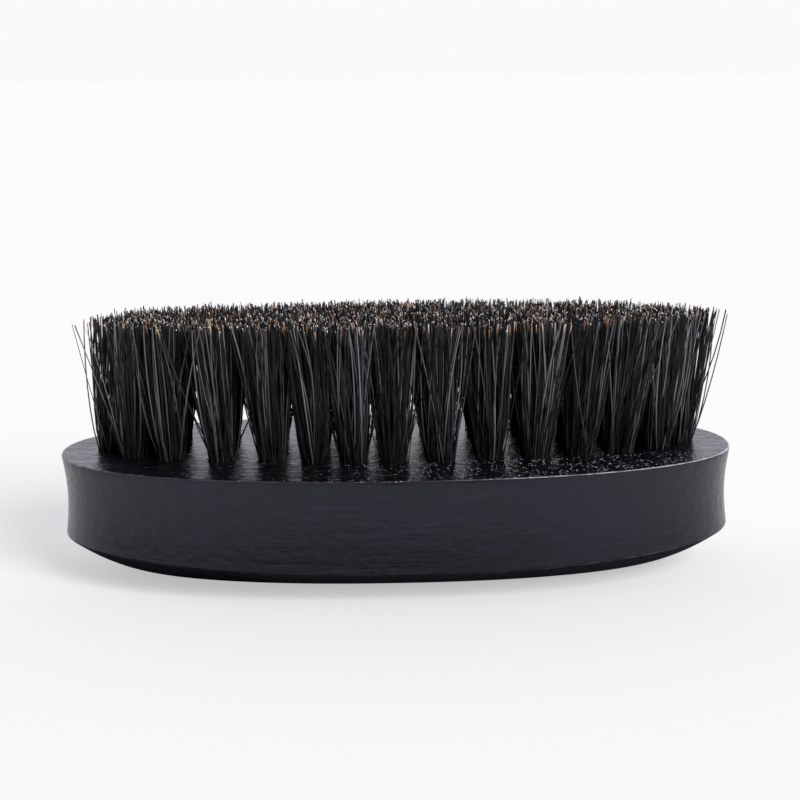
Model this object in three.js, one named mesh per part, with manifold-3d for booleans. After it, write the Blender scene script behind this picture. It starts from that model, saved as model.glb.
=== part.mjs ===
// Oval beard brush: one turned and moulded block of black-stained wood, with boar-bristle
// tufts standing in blind holes drilled in its flat face. Millimetres, +Z up. The origin is
// under the middle of the brush, on the surface that it rests on, and +X runs along it.
import * as THREE from 'three';
import { mergeVertices } from 'three/addons/utils/BufferGeometryUtils.js';
import Module from 'manifold-3d';

// The block, seen from above, is a superellipse a little squarer than an ellipse.
const BLOCK_LENGTH = 90;
const BLOCK_WIDTH = 45;
const OUTLINE_EXPONENT = 2.25;
const OUTLINE_SEGMENTS = 72;

// Its underside curves down from the wall to a flat land, and the wall is hollowed for grip.
const CROWN_DEPTH = 3.8;
const CROWN_WIDTH = 12;
const CROWN_EXPONENT = 1.6;
const END_RISE = 1.6;
const LAND_RADIUS = 0.5;
const WALL_HEIGHT = 12.2;
const GRIP_HOLLOW = 0.5;
const LOWER_EDGE_INSET = 0.3;
const CROWN_RINGS = 5;
const WALL_RINGS = 6;
const FACE_HEIGHT = CROWN_DEPTH + WALL_HEIGHT;

// A tuft is a bundle that fills its hole, less a gap, and spreads to its trimmed end.
const HOLE_DEPTH = 7;
const ROOT_RADIUS = 1.6;
const HOLE_GAP = 0.3;
const TUFT_HEIGHT = 18;
const TUFT_END_RADIUS = 2.1;
const TUFT_END_DOME = 0.4;
const TUFT_SEGMENTS = 10;
const HOLE_SEGMENTS = 12;

// Tufts stand in two rings and a middle row, and lean outwards towards the rim. The outer ring
// is a little more pointed than an ellipse.
const OUTER_RING = { halfLength: 38.4, halfWidth: 10.3, exponent: 1.9, count: 28, firstStep: 0 };
const INNER_RING = { halfLength: 30.8, halfWidth: 5.4, exponent: 2.3, count: 22, firstStep: 0.5 };
const MIDDLE_ROW_PITCH = 5.94;
const MIDDLE_ROW_STEPS = 3;
const MIDDLE_ROW_END = 33;
const SIDE_LEAN = THREE.MathUtils.degToRad(3.5);

// Along the brush they lean most at its +X end, and about half-way to its -X end.
const END_LEAN = THREE.MathUtils.degToRad(4.5);
const HALF_WAY_LEAN = THREE.MathUtils.degToRad(5);
const HALF_WAY_WAVE = 0.9;

// The drilling wanders along the brush, so the columns of tufts crowd and open by turns, most
// of all in its -X half.
const WANDER = 1.1;
const WANDER_LENGTH = 36;
const WANDER_START = -24.6;
const WANDER_STOP = 34;
const WANDER_FADE = 45;
const WANDER_RISE = 10;

const stainedWood = { color: 0x1c1c20, roughness: 0.35, metalness: 0 };
const boarBristle = { color: 0x191715, roughness: 0.6, metalness: 0 };

const wasm = await Module();
wasm.setup();

function superellipse(angle, halfLength, halfWidth, exponent) {
  const power = 2 / exponent;
  const along = Math.sign(Math.cos(angle)) * Math.abs(Math.cos(angle)) ** power;
  const across = Math.sign(Math.sin(angle)) * Math.abs(Math.sin(angle)) ** power;
  return [halfLength * along, halfWidth * across];
}

function toSolid(geometry) {
  const bare = geometry.clone();
  bare.deleteAttribute('normal');
  bare.deleteAttribute('uv');
  const merged = mergeVertices(bare, 1e-4);
  const vertProperties = new Float32Array(merged.attributes.position.array);
  const triVerts = new Uint32Array(merged.index.array);
  return new wasm.Manifold(new wasm.Mesh({ numProp: 3, vertProperties, triVerts }));
}

function toGeometry(solid) {
  const { vertProperties, triVerts } = solid.getMesh();
  const geometry = new THREE.BufferGeometry();
  geometry.setAttribute('position', new THREE.BufferAttribute(vertProperties, 3));
  geometry.setIndex(new THREE.BufferAttribute(triVerts, 1));
  geometry.computeVertexNormals();
  return geometry;
}

// A lathe turns its profile about +Y, so it is stood up along +Z.
function lathe(profile, segments) {
  const points = profile.map(([radius, height]) => new THREE.Vector2(radius, height));
  return new THREE.LatheGeometry(points, segments).rotateX(Math.PI / 2);
}

// The block starts as a lathe. A profile point's radius is 1 at the outline and LAND_RADIUS at
// the edge of the land, and its height is 0 to 1 up the crown and 1 to 2 up the wall.
function blockSolid() {
  const profile = [[0, 0]];
  for (let i = 0; i <= CROWN_RINGS; i++) {
    const out = i / CROWN_RINGS;
    profile.push([LAND_RADIUS + (1 - LAND_RADIUS) * out, out ** CROWN_EXPONENT]);
  }
  for (let i = 1; i <= WALL_RINGS; i++) {
    profile.push([1, 1 + i / WALL_RINGS]);
  }
  profile.push([0, 2]);
  const geometry = lathe(profile, OUTLINE_SEGMENTS);
  const position = geometry.attributes.position;
  for (let i = 0; i < position.count; i++) {
    const radius = Math.hypot(position.getX(i), position.getY(i));
    const angle = Math.atan2(position.getY(i), position.getX(i));
    const rise = position.getZ(i);
    const upWall = Math.max(0, rise - 1);
    const inset = CROWN_WIDTH * (1 - radius) / (1 - LAND_RADIUS)
      + GRIP_HOLLOW * Math.sin(Math.PI * upWall) + LOWER_EDGE_INSET * (1 - upWall);
    const halfLength = BLOCK_LENGTH / 2 - inset;
    const halfWidth = BLOCK_WIDTH / 2 - inset;
    const [x, y] = superellipse(angle, halfLength, halfWidth, OUTLINE_EXPONENT);
    const share = radius < LAND_RADIUS / 2 ? 0 : 1;
    const edge = CROWN_DEPTH + END_RISE * (2 * x / BLOCK_LENGTH) ** 2;
    const z = rise <= 1 ? edge * rise : edge + (FACE_HEIGHT - edge) * upWall;
    position.setXYZ(i, x * share, y * share, z);
  }
  return toSolid(geometry);
}

function ringPlaces({ halfLength, halfWidth, exponent, count, firstStep }) {
  const outline = [];
  const samples = 720;
  for (let i = 0; i < samples; i++) {
    const angle = 2 * Math.PI * i / samples;
    const [x, y] = superellipse(angle, halfLength, halfWidth, exponent);
    outline.push(new THREE.Vector3(x, y, 0));
  }
  const curve = new THREE.CatmullRomCurve3(outline, true);
  curve.arcLengthDivisions = samples;
  return Array.from({ length: count }, (_, i) => curve.getPointAt((i + firstStep) / count));
}

function middlePlaces() {
  const steps = Array.from({ length: 2 * MIDDLE_ROW_STEPS + 1 }, (_, i) => i - MIDDLE_ROW_STEPS);
  const along = [-MIDDLE_ROW_END, ...steps.map((step) => step * MIDDLE_ROW_PITCH), MIDDLE_ROW_END];
  return along.map((x) => new THREE.Vector3(x, 0, 0));
}

function wander(x) {
  const rise = (x + OUTER_RING.halfLength) / WANDER_RISE;
  const share = THREE.MathUtils.clamp(Math.min(rise, (WANDER_STOP - x) / WANDER_FADE), 0, 1);
  return WANDER * share * Math.sin(2 * Math.PI * (x - WANDER_START) / WANDER_LENGTH);
}

function leanAlong(x) {
  const share = x / OUTER_RING.halfLength;
  if (share > 0) return END_LEAN * share;
  return HALF_WAY_LEAN * Math.sin(Math.PI * HALF_WAY_WAVE * share);
}

// A tuft's own +Z runs up its axis from the point where the axis meets the face.
function stand(object, place) {
  object.position.set(place.x + wander(place.x), place.y, FACE_HEIGHT);
  object.rotation.x = -SIDE_LEAN * place.y / OUTER_RING.halfWidth;
  object.rotation.y = leanAlong(place.x);
  object.updateMatrix();
  return object;
}

function holeSolid(place) {
  const radius = ROOT_RADIUS + HOLE_GAP;
  const profile = [[0, -HOLE_DEPTH], [radius, -HOLE_DEPTH], [radius, 1], [0, 1]];
  const drill = lathe(profile, HOLE_SEGMENTS);
  return toSolid(drill.applyMatrix4(stand(new THREE.Object3D(), place).matrix));
}

const brush = new THREE.Group();

function addMesh(name, geometry, finish) {
  const mesh = new THREE.Mesh(geometry, new THREE.MeshStandardMaterial(finish));
  mesh.name = name;
  brush.add(mesh);
  return mesh;
}

const rows = {
  outer_tuft: ringPlaces(OUTER_RING),
  inner_tuft: ringPlaces(INNER_RING),
  middle_tuft: middlePlaces(),
};

const holes = Object.values(rows).flat().map(holeSolid);
const block = holes.reduce((solid, hole) => solid.subtract(hole), blockSolid());
addMesh('block', toGeometry(block), stainedWood);

const tuftProfile = [
  [0, HOLE_GAP - HOLE_DEPTH],
  [ROOT_RADIUS, HOLE_GAP - HOLE_DEPTH],
  [ROOT_RADIUS, 0],
  [TUFT_END_RADIUS, TUFT_HEIGHT - TUFT_END_DOME],
  [0, TUFT_HEIGHT],
];
for (const [row, places] of Object.entries(rows)) {
  places.forEach((place, i) => {
    const name = `${row}_${String(i + 1).padStart(2, '0')}`;
    stand(addMesh(name, lathe(tuftProfile, TUFT_SEGMENTS), boarBristle), place);
  });
}

export default brush;
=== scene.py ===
"""Oval beard brush: a black-stained, lacquered hardwood block, with tufts of black boar bristle
folded over flat-wire anchors in blind holes. Metres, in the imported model's frame: +X runs along
the brush, +Z is up, and the brush lies on its crowned underside with its bristles up."""
import math
from functools import partial

import bmesh
import bpy
import numpy as np
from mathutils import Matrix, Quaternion, Vector


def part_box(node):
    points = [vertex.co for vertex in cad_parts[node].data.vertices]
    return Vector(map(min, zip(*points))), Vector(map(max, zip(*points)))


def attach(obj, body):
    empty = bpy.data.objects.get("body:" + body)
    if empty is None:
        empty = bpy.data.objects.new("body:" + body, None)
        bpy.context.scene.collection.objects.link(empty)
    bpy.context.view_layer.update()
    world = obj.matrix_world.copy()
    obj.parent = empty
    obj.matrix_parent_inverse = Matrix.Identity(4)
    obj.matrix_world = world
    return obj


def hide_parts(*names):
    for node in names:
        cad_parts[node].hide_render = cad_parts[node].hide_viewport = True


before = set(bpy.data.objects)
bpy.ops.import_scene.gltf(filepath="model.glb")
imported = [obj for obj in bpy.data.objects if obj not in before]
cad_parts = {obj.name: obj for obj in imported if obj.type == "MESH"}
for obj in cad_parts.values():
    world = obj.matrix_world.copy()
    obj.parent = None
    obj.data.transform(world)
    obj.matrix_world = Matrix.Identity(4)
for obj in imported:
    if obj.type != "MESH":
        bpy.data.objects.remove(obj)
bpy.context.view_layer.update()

MM = 0.001

# The block's form, which its drilled CAD solid has in coarser facets. A rounded edge takes
# EDGE_SHARE of each surface that meets in it, and twice that at the foot of the wall.
OUTLINE_EXPONENT = 2.25
CROWN_DEPTH = 3.8 * MM
CROWN_WIDTH = 12 * MM
CROWN_EXPONENT = 1.6
END_RISE = 1.6 * MM
GRIP_HOLLOW = 0.5 * MM
LOWER_EDGE_INSET = 0.3 * MM
EDGE_SHARE = 0.012
OUTLINE_STEPS = 360
CROWN_STEPS = 26
WALL_STEPS = 14
ARC_STEPS = 4

# The lacquer's face finish starts just under the face. The rim carries a painted highlight to a
# depth, and the lower edge to either side of it a smaller share of that painted highlight.
FACE_FINISH_FROM = 15.9 * MM
RIM_HIGHLIGHT_DEPTH = 0.12 * MM
EDGE_HIGHLIGHT_REACH = 0.06 * MM
EDGE_HIGHLIGHT_SHARE = 0.06

# Holes and tufts.
HOLE_RADIUS = 1.9 * MM
HOLE_DEPTH = 7 * MM
HOLE_SIDES = 32
HOLE_GAP = 0.3 * MM
DRILL_OVERRUN = 2 * MM
BRISTLES_IN_A_TUFT = 150
BRISTLE_THICKNESS = 0.22 * MM
FOLD_RADIUS = 1.2 * MM
FOLD_HEIGHT = 0.6 * MM
MOUTH_RADIUS = 1.76 * MM
TRIM_RADIUS = 2.65 * MM
TRIM_HEIGHT = 18.0 * MM
HALF_FIELD = 38.4 * MM
COMBED_IN = 1.6 * MM
STEPS_UP = 7
SPREAD_CURVE = 0.55
TIP_TAPER = 0.18

# The anchor is a chip of flat wire across the fold of its tuft.
ANCHOR_LENGTH = 3.5 * MM
ANCHOR_HEIGHT = 1.6 * MM
ANCHOR_THICKNESS = 0.45 * MM
ANCHOR_LIFT = 0.2 * MM
ANCHOR_BEVEL = 0.08 * MM

# The studio. The table reaches far past the view, and reflections shorter than
# DARK_TABLE_REACH see it dark. The black card lies in front of the brush.
TABLE_REACH = 40
DARK_TABLE_REACH = 14 * MM
CARD_LOW = (-0.08, -0.9)
CARD_HIGH = (0.08, -0.085)
CARD_HEIGHT = 0.2 * MM

# The camera looks at the brush's long side, a little from its left and above, slightly tipped.
CAMERA_DISTANCE = 250 * MM
CAMERA_AZIMUTH = math.radians(-2.2)
CAMERA_ELEVATION = math.radians(10.15)
CAMERA_ROLL = math.radians(-0.53)
CAMERA_AIM = Vector((0.58, 3.17, 21.6)) * MM
SENSOR_WIDTH = 36
LENS = 82.3


def linear(colour):
    """An sRGB hex colour as the linear RGBA that the nodes take."""
    parts = [int(colour[i:i + 2], 16) / 255 for i in (1, 3, 5)]
    return tuple(c / 12.92 if c <= 0.04045 else ((c + 0.055) / 1.055) ** 2.4 for c in parts) + (1,)


def add(tree, kind, feeds=None, **settings):
    """A new node with these settings. feeds gives each named or numbered input its value, or the
    node or socket that feeds it, and a node stands for its first output."""
    made = tree.nodes.new(kind)
    for name, value in settings.items():
        setattr(made, name, value)
    for key, value in (feeds or {}).items():
        inputs = [s for s in made.inputs if s.enabled]
        socket = inputs[key] if isinstance(key, int) else next(s for s in inputs if s.name == key)
        if isinstance(value, bpy.types.Node):
            value = next(s for s in value.outputs if s.enabled)
        if isinstance(value, bpy.types.NodeSocket):
            tree.links.new(value, socket)
        else:
            socket.default_value = value
    return made


def new_finish(name):
    """An empty material and its node adder."""
    finish = bpy.data.materials.new(name)
    finish.use_nodes = True
    finish.node_tree.nodes.clear()
    new = partial(add, finish.node_tree)
    return finish, new


def ramp(new, factor, stops):
    """A colour ramp through (place, sRGB hex) stops."""
    made = new("ShaderNodeValToRGB", {"Fac": factor})
    elements = made.color_ramp.elements
    while len(elements) < len(stops):
        elements.new(1)
    for element, (place, colour) in zip(elements, stops):
        element.position = place
        element.color = linear(colour)
    return made


# ---------------------------------------------------------------- finishes

def ebonised_lacquer():
    """Beech stained black and sprayed with satin lacquer: nearly black, with a soft sheen that
    turns pale and bluish where it is seen along the surface, grain lines, pores and orange peel."""
    finish, new = new_finish("ebonised_beech_satin_lacquer")
    place = new("ShaderNodeTexCoord").outputs["Object"]
    in_mm = new("ShaderNodeVectorMath", {0: place, 1: (1000,) * 3}, operation="MULTIPLY")

    # Grain runs along the brush: streaks about 0.35 mm wide and 8 mm long, wavering a little.
    waver = new("ShaderNodeTexNoise", {"Vector": in_mm, "Scale": 1 / 14, "Detail": 2.0})
    wavered = new("ShaderNodeVectorMath", {0: waver.outputs["Color"], 1: (0, 1.6, 1.6), 2: in_mm},
                  operation="MULTIPLY_ADD")
    along = new("ShaderNodeVectorMath", {0: wavered, 1: (0.045, 1, 1)}, operation="MULTIPLY")
    grain = new("ShaderNodeTexNoise", {"Vector": along, "Scale": 1 / 0.7, "Detail": 5.0,
                                       "Roughness": 0.68})
    # Pores are dark flecks, 0.2 mm across and 2 mm long: coarser than real ones, so they show.
    fleck_place = new("ShaderNodeVectorMath", {0: wavered, 1: (0.1, 1, 1)}, operation="MULTIPLY")
    flecks = new("ShaderNodeTexVoronoi", {"Vector": fleck_place, "Scale": 1 / 0.55})
    pores = new("ShaderNodeMapRange", {"Value": flecks, "From Min": 0.10, "From Max": 0.24,
                                       "To Min": 0.0, "To Max": 1.0})
    # Orange peel of the sprayed lacquer, 1.3 mm from bump to bump.
    peel = new("ShaderNodeTexNoise", {"Vector": in_mm, "Scale": 1 / 1.3, "Detail": 1.5})
    # The grain lines come and go in patches about 11 mm across.
    cloud = new("ShaderNodeTexNoise", {"Vector": in_mm, "Scale": 1 / 11, "Detail": 2.0})

    stain = ramp(new, grain, [(0.30, "#07070a"), (0.52, "#0e0e14"), (0.72, "#1c1c28")])
    worn = new("ShaderNodeMix", {"Factor": cloud, 1: stain, 2: linear("#0e0e13")},
               data_type="RGBA")
    dark_pores = new("ShaderNodeMix", {"Factor": pores, 1: linear("#040405"), 2: worn},
                     data_type="RGBA")
    gloss = new("ShaderNodeMapRange", {"Value": grain, "From Min": 0.3, "From Max": 0.7,
                                       "To Min": 0.36, "To Max": 0.20})

    # Dust and clipped bristle ends lie on the bristle face, up to 0.3 mm wide and 0.6 mm long.
    # Most lie in front of the tufts and towards the +X end.
    spot = new("ShaderNodeSeparateXYZ", {"Vector": in_mm})
    on_face = new("ShaderNodeMath", {0: spot.outputs["Z"], 1: FACE_FINISH_FROM / MM},
                  operation="GREATER_THAN")
    in_front = new("ShaderNodeMapRange", {"Value": spot.outputs["Y"], "From Min": -10.0,
                                          "From Max": -5.0, "To Min": 1.0, "To Max": 0.0})
    to_the_end = new("ShaderNodeMapRange", {"Value": spot.outputs["X"], "From Min": -35.0,
                                            "From Max": 25.0, "To Min": 0.35, "To Max": 1.0})
    most = new("ShaderNodeMath", {0: in_front, 1: to_the_end}, operation="MULTIPLY")
    most = new("ShaderNodeMath", {0: most, 1: on_face}, operation="MULTIPLY")
    shortened = new("ShaderNodeVectorMath", {0: in_mm, 1: (1, 0.45, 1)}, operation="MULTIPLY")
    speck = new("ShaderNodeTexVoronoi", {"Vector": shortened, "Scale": 1 / 0.33})
    pick = new("ShaderNodeSeparateColor", {"Color": speck.outputs["Color"]})
    reach = new("ShaderNodeMapRange", {"Value": pick, "From Min": 0.1, "From Max": 1.0,
                                       "To Min": 0.0, "To Max": 0.44})
    reach = new("ShaderNodeMath", {0: reach, 1: most}, operation="MULTIPLY")
    dust = new("ShaderNodeMath", {0: speck.outputs["Distance"], 1: reach}, operation="LESS_THAN")
    # The rim and, faintly, the lower edge get a painted highlight, pale grey and broken in places,
    # more towards the +X end.
    rim = new("ShaderNodeAttribute", attribute_name="rim").outputs["Fac"]
    painted_highlight_amount = new("ShaderNodeMapRange", {"Value": spot.outputs["X"], "From Min": 5.0,
                                         "From Max": 38.0, "To Min": 0.12, "To Max": 1.8})
    broken = new("ShaderNodeTexNoise", {"Vector": in_mm, "Scale": 1 / 1.7, "Detail": 2.0})
    broken = new("ShaderNodeMapRange", {"Value": broken, "From Min": 0.42, "From Max": 0.56,
                                        "To Min": 0.4, "To Max": 1.0})
    painted_highlight_amount = new("ShaderNodeMath", {0: painted_highlight_amount, 1: broken}, operation="MULTIPLY")
    painted_highlight_amount = new("ShaderNodeMath", {0: painted_highlight_amount, 1: rim}, operation="MULTIPLY", use_clamp=True)
    with_painted_highlight = new("ShaderNodeMix", {"Factor": painted_highlight_amount, 1: dark_pores, 2: linear("#e4e4ec")},
                 data_type="RGBA")
    dusty = new("ShaderNodeMix", {"Factor": dust, 1: with_painted_highlight, 2: linear("#dedee2")},
                data_type="RGBA")

    # The lacquer is thinner on the bristle face, where the pores stay open and it is rougher.
    open_pores = new("ShaderNodeMapRange", {"Value": on_face, "To Min": 0.1, "To Max": 2.2})
    relief = new("ShaderNodeMath", {0: grain, 1: 0.9, 2: peel}, operation="MULTIPLY_ADD")
    relief = new("ShaderNodeMath", {0: pores, 1: open_pores, 2: relief},
                 operation="MULTIPLY_ADD")
    rougher = new("ShaderNodeMapRange", {"Value": on_face, "To Min": 1.0, "To Max": 3.2})
    relief = new("ShaderNodeMath", {0: relief, 1: rougher}, operation="MULTIPLY")
    bump = new("ShaderNodeBump", {"Strength": 1.0, "Distance": 0.06 * MM, "Height": relief})
    shader = new("ShaderNodeBsdfPrincipled", {
        "Base Color": dusty, "Roughness": gloss, "Normal": bump, "IOR": 1.48,
        "Specular Tint": linear("#e6e7ff")})
    new("ShaderNodeOutputMaterial", {"Surface": shader})
    return finish


def boar_bristle():
    """Black boar bristle: dark brown-black strands with a soft grey gloss along them, which is
    partly a painted highlight in their colour, some amber towards the trimmed end, and the pale
    horn of the core where they are cut; their lower half is painted darker as shade."""
    finish, new = new_finish("black_boar_bristle")
    tone = new("ShaderNodeAttribute", attribute_name="tone").outputs["Fac"]
    amber = new("ShaderNodeAttribute", attribute_name="amber").outputs["Fac"]
    up = new("ShaderNodeAttribute", attribute_name="up").outputs["Fac"]
    cut = new("ShaderNodeAttribute", attribute_name="cut_end").outputs["Fac"]

    # The grey of the palest third of the strands is painted highlight, standing in for the gloss
    # along them; the brown strands and the rare silver ones are their own colour.
    strand_with_painted_light = ramp(new, tone, [(0.0, "#030303"), (0.66, "#060607"), (0.76, "#404047"),
                              (0.93, "#87868d"), (0.97, "#4c3a30"), (0.997, "#b5b7be")])
    # The lower half is painted blacker: painted shade for the dark between the tufts.
    rise = new("ShaderNodeMapRange", {"Value": up, "From Min": 0.0, "From Max": 0.55,
                                      "To Min": 0.04, "To Max": 1.0})
    strand_with_painted_light = new("ShaderNodeMix", {"Factor": rise, 1: linear("#020202"), 2: strand_with_painted_light},
                 data_type="RGBA")
    tip_colour = ramp(new, tone, [(0.0, "#7a3f1c"), (0.45, "#c98a55"), (0.8, "#ffe9cc")])
    # About one strand in eight is amber over its last 1 mm.
    is_amber = new("ShaderNodeMath", {0: amber, 1: 0.88}, operation="GREATER_THAN")
    near_tip = new("ShaderNodeMapRange", {"Value": up, "From Min": 0.94, "From Max": 0.99})
    amber_share = new("ShaderNodeMath", {0: is_amber, 1: near_tip}, operation="MULTIPLY")
    body = new("ShaderNodeMix", {"Factor": amber_share, 1: strand_with_painted_light, 2: tip_colour},
               data_type="RGBA")
    core = ramp(new, tone, [(0.22, "#0d0c0c"), (0.42, "#8c857c"), (0.55, "#fbf6ee")])
    colour = new("ShaderNodeMix", {"Factor": cut, 1: body, 2: core}, data_type="RGBA")
    # The palest quarter of the strands is glossy and the rest dull, and all are dull near the
    # block.
    gloss = new("ShaderNodeMapRange", {"Value": tone, "From Min": 0.66, "From Max": 0.78,
                                       "To Min": 0.75, "To Max": 0.27})
    gloss = new("ShaderNodeMix", {0: rise, 1: 0.85, 2: gloss}, data_type="FLOAT")
    shader = new("ShaderNodeBsdfPrincipled", {
        "Base Color": colour, "Roughness": gloss, "IOR": 1.54})
    new("ShaderNodeOutputMaterial", {"Surface": shader})
    return finish


def anchor_wire():
    """Galvanised steel flat wire, rolled and sheared: dull grey with a fine drawn line."""
    finish, new = new_finish("galvanised_flat_wire")
    place = new("ShaderNodeTexCoord").outputs["Object"]
    drawn = new("ShaderNodeVectorMath", {0: place, 1: (400, 9000, 9000)}, operation="MULTIPLY")
    lines = new("ShaderNodeTexNoise", {"Vector": drawn, "Scale": 1.0, "Detail": 3.0})
    colour = ramp(new, lines, [(0.3, "#8a8d90"), (0.7, "#b4b7b9")])
    shader = new("ShaderNodeBsdfPrincipled", {
        "Base Color": colour, "Roughness": 0.42, "Metallic": 1.0})
    new("ShaderNodeOutputMaterial", {"Surface": shader})
    return finish


def table_top():
    """Matt white acrylic with a faint mottle 1 mm across, lit from within as a light table is.
    Reflections of the table right beside the brush see it dark grey and unlit, which a real one
    isn't, to keep the crown and the foot of the wall black."""
    finish, new = new_finish("white_acrylic_light_table")
    place = new("ShaderNodeTexCoord").outputs["Object"]
    fibre = new("ShaderNodeTexNoise", {"Vector": place, "Scale": 900, "Detail": 3.0})
    colour = ramp(new, fibre, [(0.3, "#e8e7e4"), (0.7, "#ebeae7")])
    ray = new("ShaderNodeLightPath").outputs
    near = new("ShaderNodeMath", {0: ray["Ray Length"], 1: DARK_TABLE_REACH}, operation="LESS_THAN")
    near = new("ShaderNodeMath", {0: near, 1: ray["Is Glossy Ray"]}, operation="MULTIPLY")
    lit = new("ShaderNodeMix", {0: near, 1: 0.475, 2: 0.0}, data_type="FLOAT")
    colour = new("ShaderNodeMix", {"Factor": near, 1: colour, 2: linear("#56565c")},
                 data_type="RGBA")
    shader = new("ShaderNodeBsdfPrincipled", {
        "Base Color": colour, "Roughness": 0.9, "Specular IOR Level": 0.0,
        "Emission Color": linear("#ffffff"), "Emission Strength": lit})
    new("ShaderNodeOutputMaterial", {"Surface": shader})
    return finish


def black_card():
    """Matt black card."""
    finish, new = new_finish("matt_black_card")
    shader = new("ShaderNodeBsdfPrincipled", {
        "Base Color": linear("#0c0c0d"), "Roughness": 0.9, "Specular IOR Level": 0.1})
    new("ShaderNodeOutputMaterial", {"Surface": shader})
    return finish


# ---------------------------------------------------------------- meshes

def new_piece(name, mesh, finish):
    """An object for a finished mesh, at the origin, in the scene."""
    piece = bpy.data.objects.new(name, mesh)
    bpy.context.scene.collection.objects.link(piece)
    if finish:
        mesh.materials.clear()
        mesh.materials.append(finish)
    return piece


def superellipse(angles, half_length, half_width):
    power = 2 / OUTLINE_EXPONENT
    along = np.sign(np.cos(angles)) * np.abs(np.cos(angles)) ** power
    across = np.sign(np.sin(angles)) * np.abs(np.sin(angles)) ** power
    return half_length * along, half_width * across


class BlockForm:
    """The block's surface, as rings of points that run round its outline."""

    def __init__(self):
        low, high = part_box("block")
        self.half_length = (high.x - low.x) / 2
        self.half_width = (high.y - low.y) / 2
        self.face = high.z
        self.angles = np.linspace(0, 2 * math.pi, OUTLINE_STEPS, endpoint=False)

    def lower_edge(self, x):
        return CROWN_DEPTH + END_RISE * (x / self.half_length) ** 2

    def wall(self, up):
        """The ring at a share of the way up the wall."""
        inset = GRIP_HOLLOW * math.sin(math.pi * up) + LOWER_EDGE_INSET * (1 - up)
        x, y = superellipse(self.angles, self.half_length - inset, self.half_width - inset)
        edge = self.lower_edge(x)
        return np.stack([x, y, edge + (self.face - edge) * up], 1)

    def crown(self, out):
        """The ring on the underside at a share of the way from the land to the lower edge."""
        inset = LOWER_EDGE_INSET + CROWN_WIDTH * (1 - out)
        x, y = superellipse(self.angles, self.half_length - inset, self.half_width - inset)
        return np.stack([x, y, self.lower_edge(x) * out ** CROWN_EXPONENT], 1)

    def top(self, share):
        """The ring on the bristle face at a share of the way out to the rim."""
        return self.wall(1) * (share, share, 1)

    def rings(self):
        near = 1 - EDGE_SHARE
        made = [self.crown(s) for s in np.linspace(0, near, CROWN_STEPS)]
        made += rounded(self.crown(near), self.crown(1), self.wall(EDGE_SHARE * 2))
        made += [self.wall(u) for u in np.linspace(EDGE_SHARE * 2, near, WALL_STEPS)]
        made += rounded(self.wall(near), self.wall(1), self.top(near))
        made.append(self.top(near))
        return made


def rounded(start, corner, end):
    """Rings that round the corner, after start and before end."""
    shares = np.arange(1, ARC_STEPS) / ARC_STEPS
    return [(1 - t) ** 2 * start + 2 * t * (1 - t) * corner + t * t * end for t in shares]


def loft(rings):
    """A closed mesh through the rings, with a fan at the first and one flat face at the last."""
    bm = bmesh.new()
    rows = [[bm.verts.new(p) for p in ring] for ring in rings]
    foot = bm.verts.new((0, 0, float(rings[0][0][2])))
    count = len(rows[0])
    for i in range(count):
        after = (i + 1) % count
        bm.faces.new((foot, rows[0][after], rows[0][i]))
        for low, high in zip(rows, rows[1:]):
            bm.faces.new((low[i], low[after], high[after], high[i]))
    bm.faces.new(rows[-1])
    mesh = bpy.data.meshes.new("lofted")
    bm.to_mesh(mesh)
    bm.free()
    return mesh


def tuft_axis(name):
    """Where a tuft's axis starts, HOLE_GAP above the bottom of its hole, and its direction."""
    points = np.array([v.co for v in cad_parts[name].data.vertices])
    bottom = points[points[:, 2] < points[:, 2].min() + 0.5 * MM].mean(0)
    top = points[points[:, 2].argmax()]
    return Vector(bottom), Vector(top - bottom).normalized()


def drills(axes):
    """One cutter for each hole, joined in one mesh."""
    bm = bmesh.new()
    for foot, direction in axes.values():
        turn = Vector((0, 0, 1)).rotation_difference(direction).to_matrix().to_4x4()
        turn.translation = foot + direction * ((HOLE_DEPTH + DRILL_OVERRUN) / 2 - HOLE_GAP)
        bmesh.ops.create_cone(bm, cap_ends=True, segments=HOLE_SIDES, radius1=HOLE_RADIUS,
                              radius2=HOLE_RADIUS, depth=HOLE_DEPTH + DRILL_OVERRUN, matrix=turn)
    mesh = bpy.data.meshes.new("drills")
    bm.to_mesh(mesh)
    bm.free()
    return mesh


def plain_mesh(piece, name):
    """The evaluated result of piece's modifiers as a plain mesh."""
    evaluated = piece.evaluated_get(bpy.context.evaluated_depsgraph_get())
    mesh = bpy.data.meshes.new_from_object(evaluated)
    mesh.name = name
    return mesh


def mark_rim(mesh, form):
    """Marks the points of the rounded rim, and less of the lower edge, where the finish paints a
    highlight.
    """
    x, y, z = np.array([v.co for v in mesh.vertices]).T
    out = (np.abs(x / form.half_length) ** OUTLINE_EXPONENT
           + np.abs(y / form.half_width) ** OUTLINE_EXPONENT) ** (1 / OUTLINE_EXPONENT)
    below_face = form.face - z
    on_rim = (below_face > 0.01 * MM) & (below_face < RIM_HIGHLIGHT_DEPTH) & (out > 0.98)
    on_edge = (np.abs(z - form.lower_edge(x)) < EDGE_HIGHLIGHT_REACH) & (out > 0.97)
    mark = mesh.attributes.new("rim", "FLOAT", "POINT")
    mark.data.foreach_set("value", (on_rim + EDGE_HIGHLIGHT_SHARE * on_edge).astype(np.float32))


def make_block(form, axes, finish):
    blank = new_piece("block_blank", loft(form.rings()), finish)
    cutter = new_piece("block_drills", drills(axes), None)
    drilling = blank.modifiers.new("drilling", "BOOLEAN")
    drilling.object = cutter
    drilling.operation = "DIFFERENCE"
    drilling.solver = "EXACT"
    mesh = plain_mesh(blank, "turned_block")
    for spent in (blank, cutter):
        bpy.data.objects.remove(spent)
    for polygon in mesh.polygons:
        polygon.use_smooth = True
    mesh.set_sharp_from_angle(angle=math.radians(32))
    mark_rim(mesh, form)
    piece = new_piece("turned_block", mesh, finish)
    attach(piece, "root")
    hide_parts("block")


# ---------------------------------------------------------------- bristles

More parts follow.
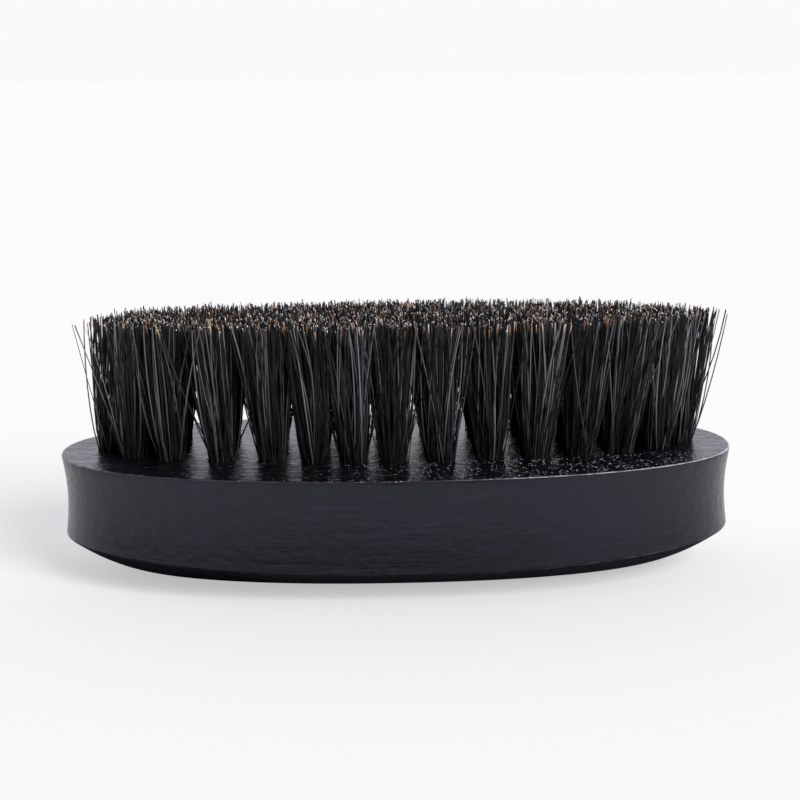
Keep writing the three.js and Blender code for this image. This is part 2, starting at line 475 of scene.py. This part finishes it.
TUFT_INPUTS = {
    "Bristles": "NodeSocketInt",
    "Fold": "NodeSocketVector",
    "Mouth": "NodeSocketVector",
    "Trimmed end": "NodeSocketVector",
    "Fold radius": "NodeSocketFloat",
    "Mouth radius": "NodeSocketFloat",
    "Trim radius": "NodeSocketFloat",
    "Thickness": "NodeSocketFloat",
    "Lean": "NodeSocketFloat",
    "Clump": "NodeSocketFloat",
    "Bow": "NodeSocketFloat",
    "Uneven trim": "NodeSocketFloat",
    "Cut slope": "NodeSocketFloat",
    "Seed": "NodeSocketInt",
}


def tuft_tree(finish):
    """The node tree that makes one tuft: bristles packed in a spiral in the hole, spreading to
    the trim, each with its own lean, bow, thickness, length and slanted cut."""
    tree = bpy.data.node_groups.new("bristle_tuft", "GeometryNodeTree")
    for name, kind in TUFT_INPUTS.items():
        tree.interface.new_socket(name, in_out="INPUT", socket_type=kind)
    tree.interface.new_socket("Tuft", in_out="OUTPUT", socket_type="NodeSocketGeometry")
    new = partial(add, tree)
    given = new("NodeGroupInput").outputs

    def maths(operation, *values):
        return new("ShaderNodeMath", dict(enumerate(values)), operation=operation)

    def vector(operation, *values):
        return new("ShaderNodeVectorMath", dict(enumerate(values)), operation=operation)

    def scaled(value, by):
        return new("ShaderNodeVectorMath", {"Vector": value, "Scale": by}, operation="SCALE")

    def chance(offset, low=0.0, high=1.0):
        seed = maths("ADD", given["Seed"], offset)
        return new("FunctionNodeRandomValue", {"Min": low, "Max": high, "Seed": seed})

    def chance_flat(offset):
        """A random level vector, more often short than long."""
        sides = [maths("ADD", chance(offset + i, -0.5, 0.5), chance(offset + 2 + i, -0.5, 0.5))
                 for i in (0, 1)]
        return new("ShaderNodeCombineXYZ", {"X": sides[0], "Y": sides[1]})

    def keep(geometry, kind, name, value, domain="POINT"):
        return new("GeometryNodeStoreNamedAttribute",
                   {"Geometry": geometry, "Name": name, "Value": value},
                   data_type=kind, domain=domain)

    def kept(kind, name):
        return new("GeometryNodeInputNamedAttribute", {"Name": name}, data_type=kind)

    # A spiral of the golden angle packs a round hole evenly.
    index = new("GeometryNodeInputIndex")
    share = maths("DIVIDE", maths("ADD", index, 0.5), given["Bristles"])
    turn = maths("MULTIPLY", index, math.pi * (3 - math.sqrt(5)))
    packed = new("ShaderNodeCombineXYZ", {"X": maths("COSINE", turn), "Y": maths("SINE", turn)})
    packed = scaled(packed, maths("POWER", share, 0.5))
    jostled = vector("ADD", packed, scaled(chance_flat(11), 0.12))
    points = new("GeometryNodePoints", {"Count": given["Bristles"], "Position": jostled})

    # Bristles that stand together lean together.
    drift = vector("ADD", jostled, new("ShaderNodeCombineXYZ", {"Z": given["Seed"]}))
    swell = new("ShaderNodeTexNoise", {"Vector": drift, "Scale": 1.7, "Detail": 1.0})
    level = vector("MULTIPLY", vector("SUBTRACT", swell.outputs["Color"], (0.5,) * 3), (2, 2, 0))
    wild = maths("POWER", chance(21), 9)
    own = scaled(chance_flat(23), maths("MULTIPLY_ADD", wild, 1.6, 1.0))
    lean = vector("ADD", scaled(level, given["Clump"]), scaled(own, given["Lean"]))
    made = keep(points, "FLOAT_VECTOR", "packed", jostled)
    made = keep(made, "FLOAT_VECTOR", "lean", lean)
    made = keep(made, "FLOAT_VECTOR", "bow", scaled(chance_flat(31), given["Bow"]))
    made = keep(made, "FLOAT_VECTOR", "slant", chance_flat(41))
    made = keep(made, "FLOAT", "length", chance(51, -1.0, 0.45))
    made = keep(made, "FLOAT", "girth", chance(53, 0.26, 0.50))
    made = keep(made, "FLOAT", "tone", chance(55))
    made = keep(made, "FLOAT", "amber", chance(57))

    line = new("GeometryNodeCurvePrimitiveLine", {"Start": (0, 0, 0), "End": (0, 0, 1)})
    line = new("GeometryNodeResampleCurve", {"Curve": line, "Count": STEPS_UP + 1})
    strands = new("GeometryNodeInstanceOnPoints", {"Points": made, "Instance": line})
    strands = new("GeometryNodeRealizeInstances", {"Geometry": strands})

    # Point 0 is in the fold, point 1 in the mouth of the hole, and the rest rise to the trim.
    step = maths("MULTIPLY", new("GeometryNodeSplineParameter").outputs["Factor"], STEPS_UP)
    in_hole = maths("MINIMUM", step, 1.0)
    up = maths("MAXIMUM", maths("DIVIDE", maths("SUBTRACT", step, 1.0), STEPS_UP - 1), 0.0)
    spot = kept("FLOAT_VECTOR", "packed")
    fold = vector("ADD", given["Fold"], scaled(spot, given["Fold radius"]))
    mouth = vector("ADD", given["Mouth"], scaled(spot, given["Mouth radius"]))
    base = new("ShaderNodeMix", {"Factor": in_hole, "A": fold, "B": mouth}, data_type="VECTOR")
    spread = scaled(spot, maths("SUBTRACT", given["Trim radius"], given["Mouth radius"]))
    uneven = maths("MULTIPLY", kept("FLOAT", "length"), given["Uneven trim"])
    travel = vector("SUBTRACT", given["Trimmed end"], given["Mouth"])
    travel = vector("ADD", travel, kept("FLOAT_VECTOR", "lean"))
    travel = vector("ADD", travel, new("ShaderNodeCombineXYZ", {"Z": uneven}))
    arch = maths("MULTIPLY", maths("MULTIPLY", up, maths("SUBTRACT", 1.0, up)), 4.0)
    path = vector("ADD", base, scaled(travel, up))
    path = vector("ADD", path, scaled(spread, maths("POWER", up, SPREAD_CURVE)))
    path = vector("ADD", path, scaled(kept("FLOAT_VECTOR", "bow"), arch))
    strands = new("GeometryNodeSetPosition", {"Geometry": strands, "Position": path})
    strands = keep(strands, "FLOAT", "up", up)
    strands = keep(strands, "FLOAT_VECTOR", "centre", new("GeometryNodeInputPosition"))

    taper = maths("SUBTRACT", 1.0, maths("MULTIPLY", up, TIP_TAPER))
    radius = maths("MULTIPLY", kept("FLOAT", "girth"), given["Thickness"])
    circle = new("GeometryNodeCurvePrimitiveCircle", {"Resolution": 6, "Radius": 1.0})
    tubes = new("GeometryNodeCurveToMesh", {
        "Curve": strands, "Profile Curve": circle, "Scale": maths("MULTIPLY", radius, taper),
        "Fill Caps": True})

    # The shears leave each end on a slant.
    at_end = maths("GREATER_THAN", kept("FLOAT", "up"), 0.999)
    off_axis = vector("SUBTRACT", new("GeometryNodeInputPosition"), kept("FLOAT_VECTOR", "centre"))
    rise = vector("DOT_PRODUCT", off_axis, kept("FLOAT_VECTOR", "slant")).outputs["Value"]
    rise = maths("MULTIPLY", rise, given["Cut slope"])
    tubes = new("GeometryNodeSetPosition", {
        "Geometry": tubes, "Selection": at_end,
        "Offset": new("ShaderNodeCombineXYZ", {"Z": rise})})
    sides = new("GeometryNodeInputMeshFaceNeighbors").outputs["Vertex Count"]
    is_cap = maths("GREATER_THAN", sides, 4.5)
    upper = maths("GREATER_THAN", kept("FLOAT", "up"), 0.5)
    tubes = keep(tubes, "FLOAT", "cut_end", maths("MULTIPLY", is_cap, upper), "FACE")
    tubes = new("GeometryNodeSetShadeSmooth", {
        "Geometry": tubes, "Shade Smooth": maths("LESS_THAN", sides, 4.5)})
    for spent in ("packed", "lean", "bow", "slant", "length", "girth", "centre"):
        tubes = new("GeometryNodeRemoveAttribute", {"Geometry": tubes, "Name": spent})
    tubes = new("GeometryNodeRealizeInstances", {"Geometry": tubes})
    tubes = new("GeometryNodeSetMaterial", {"Geometry": tubes, "Material": finish})
    new("NodeGroupOutput", {"Tuft": tubes})
    return tree


def make_tuft(name, number, axis, face, tree, finish):
    """The bristles of one CAD tuft."""
    foot, direction = axis
    mouth = foot + direction * ((face - foot.z) / direction.z)
    trimmed = mouth + direction * (TRIM_HEIGHT / direction.z)
    # The tufts at the -X end are combed in a little.
    trimmed.x += COMBED_IN * min(0, mouth.x / HALF_FIELD) ** 4
    values = {
        "Bristles": BRISTLES_IN_A_TUFT,
        "Fold": foot + direction * FOLD_HEIGHT,
        "Mouth": mouth,
        "Trimmed end": trimmed,
        "Fold radius": FOLD_RADIUS,
        "Mouth radius": MOUTH_RADIUS,
        "Trim radius": TRIM_RADIUS,
        "Thickness": BRISTLE_THICKNESS,
        "Lean": 2.6 * MM,
        "Clump": 1.5 * MM,
        "Bow": 0.8 * MM,
        "Uneven trim": 0.5 * MM,
        "Cut slope": 2.6,
        "Seed": number * 100,
    }
    piece = new_piece(name + "_bristles", bpy.data.meshes.new(name), None)
    growing = piece.modifiers.new("growing", "NODES")
    growing.node_group = tree
    for item in tree.interface.items_tree:
        if item.in_out == "INPUT":
            growing[item.identifier] = values[item.name]
    piece.update_tag()
    mesh = plain_mesh(piece, name + "_bristles")
    piece.modifiers.remove(growing)
    piece.data = mesh
    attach(piece, "root")
    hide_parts(name)


def make_anchors(axes, finish):
    """The flat-wire chips, set across the holes on top of the folds."""
    bm = bmesh.new()
    for foot, direction in axes.values():
        turn = Vector((0, 0, 1)).rotation_difference(direction).to_matrix().to_4x4()
        turn.translation = foot + direction * (ANCHOR_HEIGHT / 2 + ANCHOR_LIFT)
        chip = bmesh.ops.create_cube(bm, size=1)["verts"]
        bmesh.ops.scale(bm, verts=chip, vec=(ANCHOR_LENGTH, ANCHOR_THICKNESS, ANCHOR_HEIGHT))
        bmesh.ops.transform(bm, verts=chip, matrix=turn)
    bmesh.ops.bevel(bm, geom=bm.edges[:], offset=ANCHOR_BEVEL, segments=2, affect="EDGES")
    mesh = bpy.data.meshes.new("tuft_anchors")
    bm.to_mesh(mesh)
    bm.free()
    piece = new_piece("tuft_anchors", mesh, finish)
    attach(piece, "root")


# ---------------------------------------------------------------- studio

def lay_sheet(name, low, high, height, finish):
    """A flat level sheet between two corners."""
    bm = bmesh.new()
    corners = [(low[0], low[1]), (high[0], low[1]), (high[0], high[1]), (low[0], high[1])]
    bm.faces.new([bm.verts.new((x, y, height)) for x, y in corners])
    mesh = bpy.data.meshes.new(name)
    bm.to_mesh(mesh)
    bm.free()
    sheet = new_piece(name, mesh, finish)
    return sheet


def sun(name, come_from, width, strength):
    """A soft white light that is equally strong everywhere on the table."""
    light = bpy.data.lights.new(name, "SUN")
    light.angle = math.radians(width)
    light.energy = strength
    lamp = bpy.data.objects.new(name, light)
    lamp.rotation_euler = Vector(come_from).to_track_quat("Z", "Y").to_euler()
    bpy.context.scene.collection.objects.link(lamp)


def set_up_studio():
    """A light table, a white wall behind the brush, a dim room on the camera's side, soft light
    from the front right, and a black card that only reflections see, which keeps the wall dark."""
    lay_sheet("table_top", (-TABLE_REACH,) * 2, (TABLE_REACH,) * 2, 0, table_top())
    card = lay_sheet("black_card", CARD_LOW, CARD_HIGH, CARD_HEIGHT, black_card())
    card.visible_camera = card.visible_diffuse = card.visible_shadow = False

    world = bpy.data.worlds.new("white_wall_and_dim_room")
    world.use_nodes = True
    world.node_tree.nodes.clear()
    new = partial(add, world.node_tree)
    way = new("ShaderNodeTexCoord").outputs["Generated"]
    way = new("ShaderNodeSeparateXYZ", {"Vector": way})
    back = new("ShaderNodeMapRange", {"Value": way.outputs["Y"], "From Min": -1.0})
    walls = ramp(new, back, [(0.0, "#111216"), (0.4, "#3a3c44"), (0.6, "#f4f5ff")])
    ceiling = new("ShaderNodeMapRange", {"Value": way.outputs["Z"], "From Min": 0.45,
                                         "From Max": 0.8})
    room = new("ShaderNodeMix", {"Factor": ceiling, 1: walls, 2: linear("#4a4c55")},
               data_type="RGBA")
    seen = new("ShaderNodeLightPath").outputs["Is Camera Ray"]
    colour = new("ShaderNodeMix", {"Factor": seen, 1: room, 2: linear("#fafafb")},
                 data_type="RGBA")
    bright = new("ShaderNodeMix", {0: seen, 1: 1.25, 2: 1.0}, data_type="FLOAT")
    glow = new("ShaderNodeBackground", {"Color": colour, "Strength": bright})
    new("ShaderNodeOutputWorld", {"Surface": glow})
    bpy.context.scene.world = world
    bpy.context.scene.view_settings.view_transform = "Standard"
    sun("front_soft_box", (0.75, -0.9, 0.7), 34, 1.95)


def set_camera():
    back = Vector((math.sin(CAMERA_AZIMUTH) * math.cos(CAMERA_ELEVATION),
                   -math.cos(CAMERA_AZIMUTH) * math.cos(CAMERA_ELEVATION),
                   math.sin(CAMERA_ELEVATION)))
    data = bpy.data.cameras.new("camera")
    data.sensor_width = SENSOR_WIDTH
    data.lens = LENS
    data.clip_start, data.clip_end = 0.01, 20
    camera = bpy.data.objects.new("camera", data)
    camera.location = CAMERA_AIM + back * CAMERA_DISTANCE
    level = (-back).to_track_quat("-Z", "Y")
    camera.rotation_euler = (level @ Quaternion((0, 0, 1), CAMERA_ROLL)).to_euler()
    bpy.context.scene.collection.objects.link(camera)
    bpy.context.scene.camera = camera


set_camera()
tuft_axes = {name: tuft_axis(name) for name in sorted(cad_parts) if name != "block"}
block_form = BlockForm()
make_block(block_form, tuft_axes, ebonised_lacquer())
bristle = boar_bristle()
growth = tuft_tree(bristle)
for tuft_number, tuft_name in enumerate(tuft_axes):
    make_tuft(tuft_name, tuft_number, tuft_axes[tuft_name], block_form.face, growth, bristle)
make_anchors(tuft_axes, anchor_wire())
set_up_studio()
